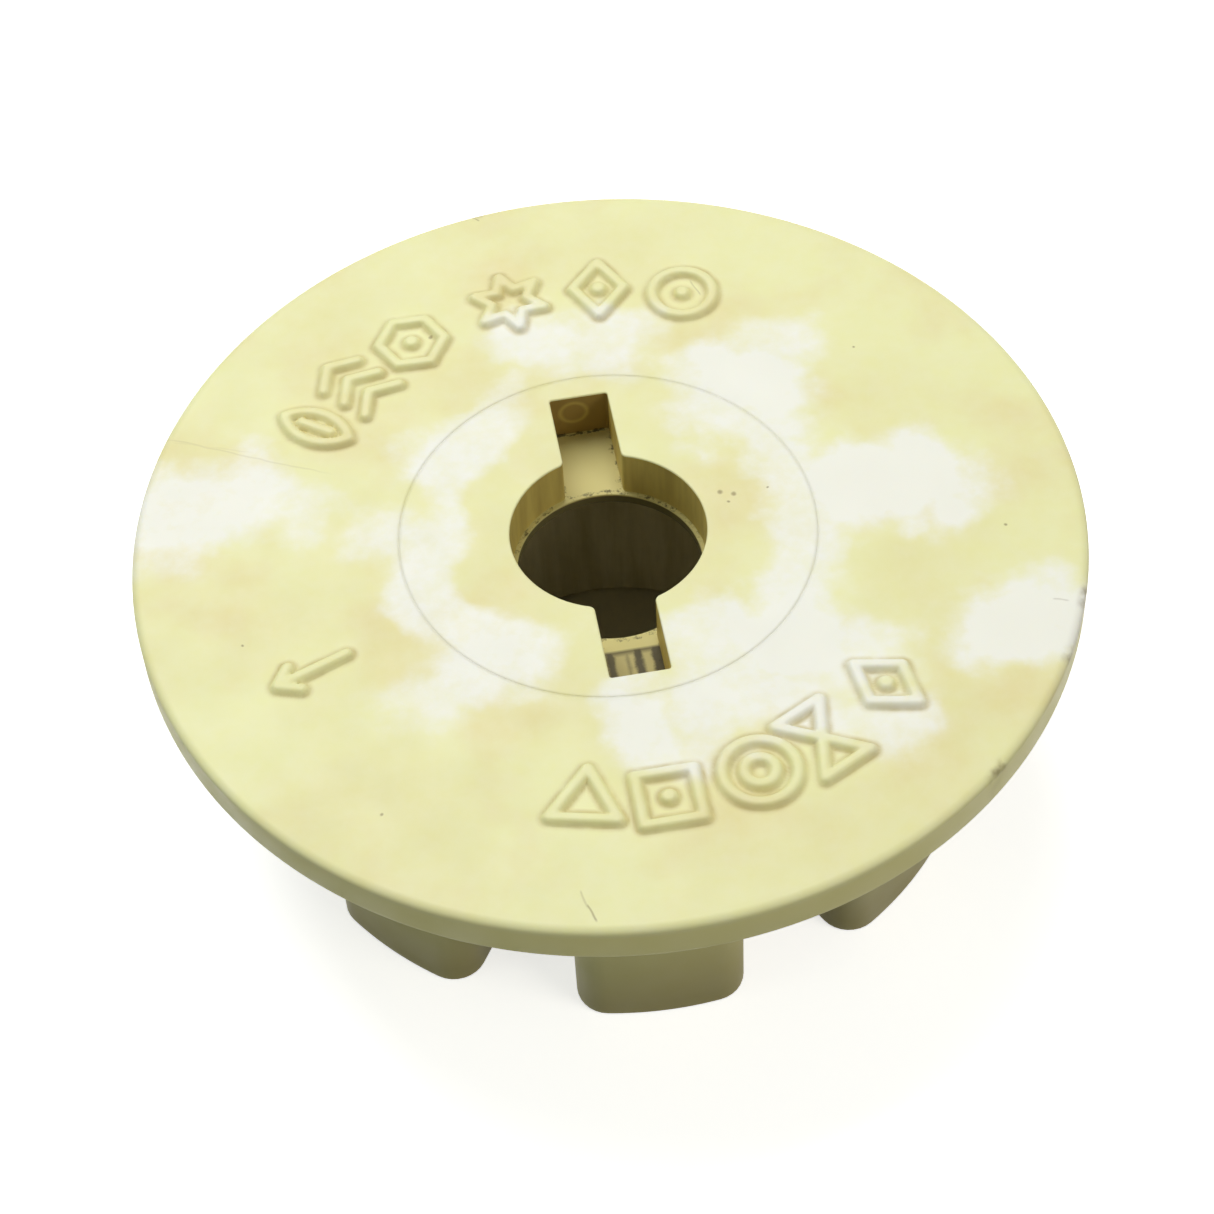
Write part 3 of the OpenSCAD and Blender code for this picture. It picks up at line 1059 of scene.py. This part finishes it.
class OBJECT_OT_lobed_cam(bpy.types.Operator):
    """Makes the cam ring with its lobes"""

    bl_idname = "cam_disc.lobed_cam"
    bl_label = "Lobed cam"

    def execute(self, context):
        edge = context.scene.disc_sizes.lobe_edge
        seat = HUB_R + FIT_GAP
        outline = cam_outline(0)
        count = len(outline)
        start = math.atan2(outline[0][1], outline[0][0])
        bore = ring_points(seat, count, start)
        loops = [at_height(bore, CAM_TOP), at_height(bore, SEAM_EDGE)]
        loops.append(at_height(ring_points(seat + SEAM_EDGE, count, start), 0))
        inset = cam_outline(-edge)
        near = cam_outline(-edge - EDGE_LOOP)
        middle = ring_points(seat + 0.3 * MM, count, start)
        loops += [at_height(middle, 0), at_height(near, 0)]
        for turn in np.linspace(-math.pi / 2, 0, 5):
            across, up = edge * math.cos(turn), edge * math.sin(turn)
            loops.append(at_height(cam_outline(across - edge), edge + up))
        levels = (edge + EDGE_LOOP, CAM_TOP / 2, CAM_TOP - EDGE_LOOP, CAM_TOP)
        loops += [at_height(outline, z) for z in levels]
        cam = tube_mesh("lobed_cam", loops)
        stand_for(cam, "cam_ring", "cam_plastic", moulded_nylon_cam(context.scene.disc_colours))
        return {"FINISHED"}


# ---- stage -------------------------------------------------------------------------------


# How brightly the floor lights the part, and how much is added to it where it is seen near the part
FLOOR_GREY = (0.16, 0.16, 0.16, 1)
FLOOR_LIFT = 0.68
# The world's light on the part
ROOM_GREY = (0.155, 0.165, 0.155, 1)


def stage_surface(colours):
    """A plain matt floor that the camera sees as white paper, with the disc's shadow on it.

    What lights the part is a dark grey floor, so that its sides aren't washed out. Under the socket
    nothing is added for the camera: there the floor is brown, as from old oil, and as dark as it lies.
    """
    material, tree = new_tree("plain_paper_floor")
    where = add(tree, "ShaderNodeNewGeometry")
    flat = add(
        tree, "ShaderNodeVectorMath", {0: where.outputs["Position"], 1: (1, 1, 0)}, operation="MULTIPLY"
    )
    away = add(tree, "ShaderNodeVectorMath", {0: flat.outputs[0]}, operation="LENGTH")
    outside = add(
        tree, "ShaderNodeMath",
        {0: away.outputs["Value"], 1: (SOCKET_R + HUB_R) / 2},
        operation="GREATER_THAN",
    )
    lit = add(tree, "ShaderNodeMath", {0: seen_rays(tree), 1: outside.outputs[0]}, operation="MULTIPLY")
    lighting = add(
        tree, "ShaderNodeMix", {0: outside.outputs[0], 6: colours.oil, 7: FLOOR_GREY}, data_type="RGBA"
    )
    tone = add(
        tree, "ShaderNodeMix",
        {0: lit.outputs[0], 6: lighting.outputs[2], 7: colours.stage},
        data_type="RGBA",
    )
    paper = add(tree, "ShaderNodeBsdfDiffuse", {"Color": tone.outputs[2]})
    # The lamps' light falls off far from the part, and the floor there is lifted more, up to white
    far = add(
        tree, "ShaderNodeMapRange",
        {"Value": away.outputs["Value"], "From Min": 0.06, "From Max": 0.5, "To Min": FLOOR_LIFT},
    )
    lift = add(tree, "ShaderNodeMath", {0: lit.outputs[0], 1: far.outputs[0]}, operation="MULTIPLY")
    glow = add(tree, "ShaderNodeEmission", {"Color": colours.stage, "Strength": lift.outputs[0]})
    both = add(tree, "ShaderNodeAddShader", {0: paper.outputs[0], 1: glow.outputs[0]})
    add(tree, "ShaderNodeOutputMaterial", {"Surface": both.outputs[0]})
    return material


class SCENE_OT_white_stage(bpy.types.Operator):
    """Makes the floor, the soft lamps, the world and the camera"""

    bl_idname = "cam_disc.white_stage"
    bl_label = "White stage"

    def execute(self, context):
        scene = context.scene
        half = 2.0
        # A hair below the disc's flat underside, so the two never lie in one plane
        below = -0.02 * MM
        mesh = bpy.data.meshes.new("floor")
        corners = [(-half, -half, below), (half, -half, below), (half, half, below), (-half, half, below)]
        mesh.from_pydata(corners, [], [(0, 1, 2, 3)])
        floor = bpy.data.objects.new("floor", mesh)
        scene.collection.objects.link(floor)
        mesh.materials.append(stage_surface(scene.disc_colours))
        self.light(scene)
        self.world(scene)
        self.camera(scene)
        scene.view_settings.view_transform = "Standard"
        return {"FINISHED"}

    def light(self, scene):
        """A broad lamp above and a little behind, a warm one at the front right and a weak one left."""
        lamps = (
            ("overhead_softbox", (-0.05, 0.20, 0.36), 0.30, 1.41, (1.0, 1.0, 1.0)),
            ("front_fill", (0.40, -0.34, 0.36), 0.30, 1.06, (1.0, 0.94, 0.85)),
            ("left_reflector", (-0.45, -0.10, 0.15), 0.20, 0.2, (0.92, 1.0, 0.90)),
        )
        for name, place, side, power, tint in lamps:
            lamp = bpy.data.lights.new(name, "AREA")
            lamp.shape = "SQUARE"
            lamp.size = side
            lamp.energy = power
            lamp.color = tint
            holder = bpy.data.objects.new(name, lamp)
            scene.collection.objects.link(holder)
            holder.location = place
            aim = np.array([0, 0, FACE_Z]) - np.array(place)
            holder.rotation_euler = Vector(aim).to_track_quat("-Z", "Y").to_euler()

    def world(self, scene):
        """Even light from all round; white where it is seen."""
        world = bpy.data.worlds.new("white_room")
        world.use_nodes = True
        tree = world.node_tree
        tree.nodes.clear()
        tone = add(
            tree, "ShaderNodeMix", {0: seen_rays(tree), 6: ROOM_GREY, 7: (1, 1, 1, 1)}, data_type="RGBA"
        )
        sky = add(tree, "ShaderNodeBackground", {"Color": tone.outputs[2]})
        add(tree, "ShaderNodeOutputWorld", {"Surface": sky.outputs[0]})
        scene.world = world

    def camera(self, scene):
        """A long lens above the front, turned a little from the slots' direction."""
        radius = BRIM_R
        elevation, azimuth, roll = math.radians(49.85), math.radians(-7.3), math.radians(3.42)
        distance = 6.554 * radius
        aim = turned((-0.0116 * radius, -0.2077 * radius, FACE_Z), azimuth)
        flat = (0.0, -math.cos(elevation) * distance, FACE_Z + math.sin(elevation) * distance)
        place = turned(flat, azimuth)
        look = Vector(aim - place).normalized()
        right = look.cross(Vector((0, 0, 1))).normalized()
        up = right.cross(look)
        tilted_right = right * math.cos(roll) - up * math.sin(roll)
        tilted_up = right * math.sin(roll) + up * math.cos(roll)
        lens = bpy.data.cameras.new("camera")
        lens.sensor_width = 36.0
        lens.lens = 36.0 * 2.5764
        lens.clip_start = 0.01
        lens.clip_end = 20.0
        holder = bpy.data.objects.new("camera", lens)
        scene.collection.objects.link(holder)
        turn = Matrix((tilted_right, tilted_up, -look)).transposed()
        holder.matrix_world = Matrix.Translation(Vector(place)) @ turn.to_4x4()
        scene.camera = holder


def turned(point, angle):
    """A point turned about the disc's axis."""
    x, y, z = point
    return np.array(
        [x * math.cos(angle) - y * math.sin(angle), x * math.sin(angle) + y * math.cos(angle), z]
    )


class VIEW3D_PT_cam_disc(bpy.types.Panel):
    """Lists the steps that build the cam disc"""

    bl_label = "Stitch pattern cam disc"
    bl_idname = "VIEW3D_PT_cam_disc"
    bl_space_type = "VIEW_3D"
    bl_region_type = "UI"
    bl_category = "Cam disc"

    def draw(self, context):
        column = self.layout.column()
        for step in STEPS:
            column.operator(step.bl_idname)
        for group in (context.scene.disc_sizes, context.scene.disc_colours):
            for name in group.__annotations__:
                column.prop(group, name)


STEPS = (OBJECT_OT_marked_brim, OBJECT_OT_keyed_hub, OBJECT_OT_lobed_cam, SCENE_OT_white_stage)
CLASSES = (DiscSizes, DiscColours, *STEPS, VIEW3D_PT_cam_disc)


def register():
    for item in CLASSES:
        bpy.utils.register_class(item)
    bpy.types.Scene.disc_sizes = PointerProperty(type=DiscSizes)
    bpy.types.Scene.disc_colours = PointerProperty(type=DiscColours)


def unregister():
    del bpy.types.Scene.disc_sizes
    del bpy.types.Scene.disc_colours
    for item in reversed(CLASSES):
        bpy.utils.unregister_class(item)


def main():
    register()
    bpy.ops.cam_disc.marked_brim()
    bpy.ops.cam_disc.keyed_hub()
    bpy.ops.cam_disc.lobed_cam()
    bpy.ops.cam_disc.white_stage()


if __name__ == "__main__":
    main()
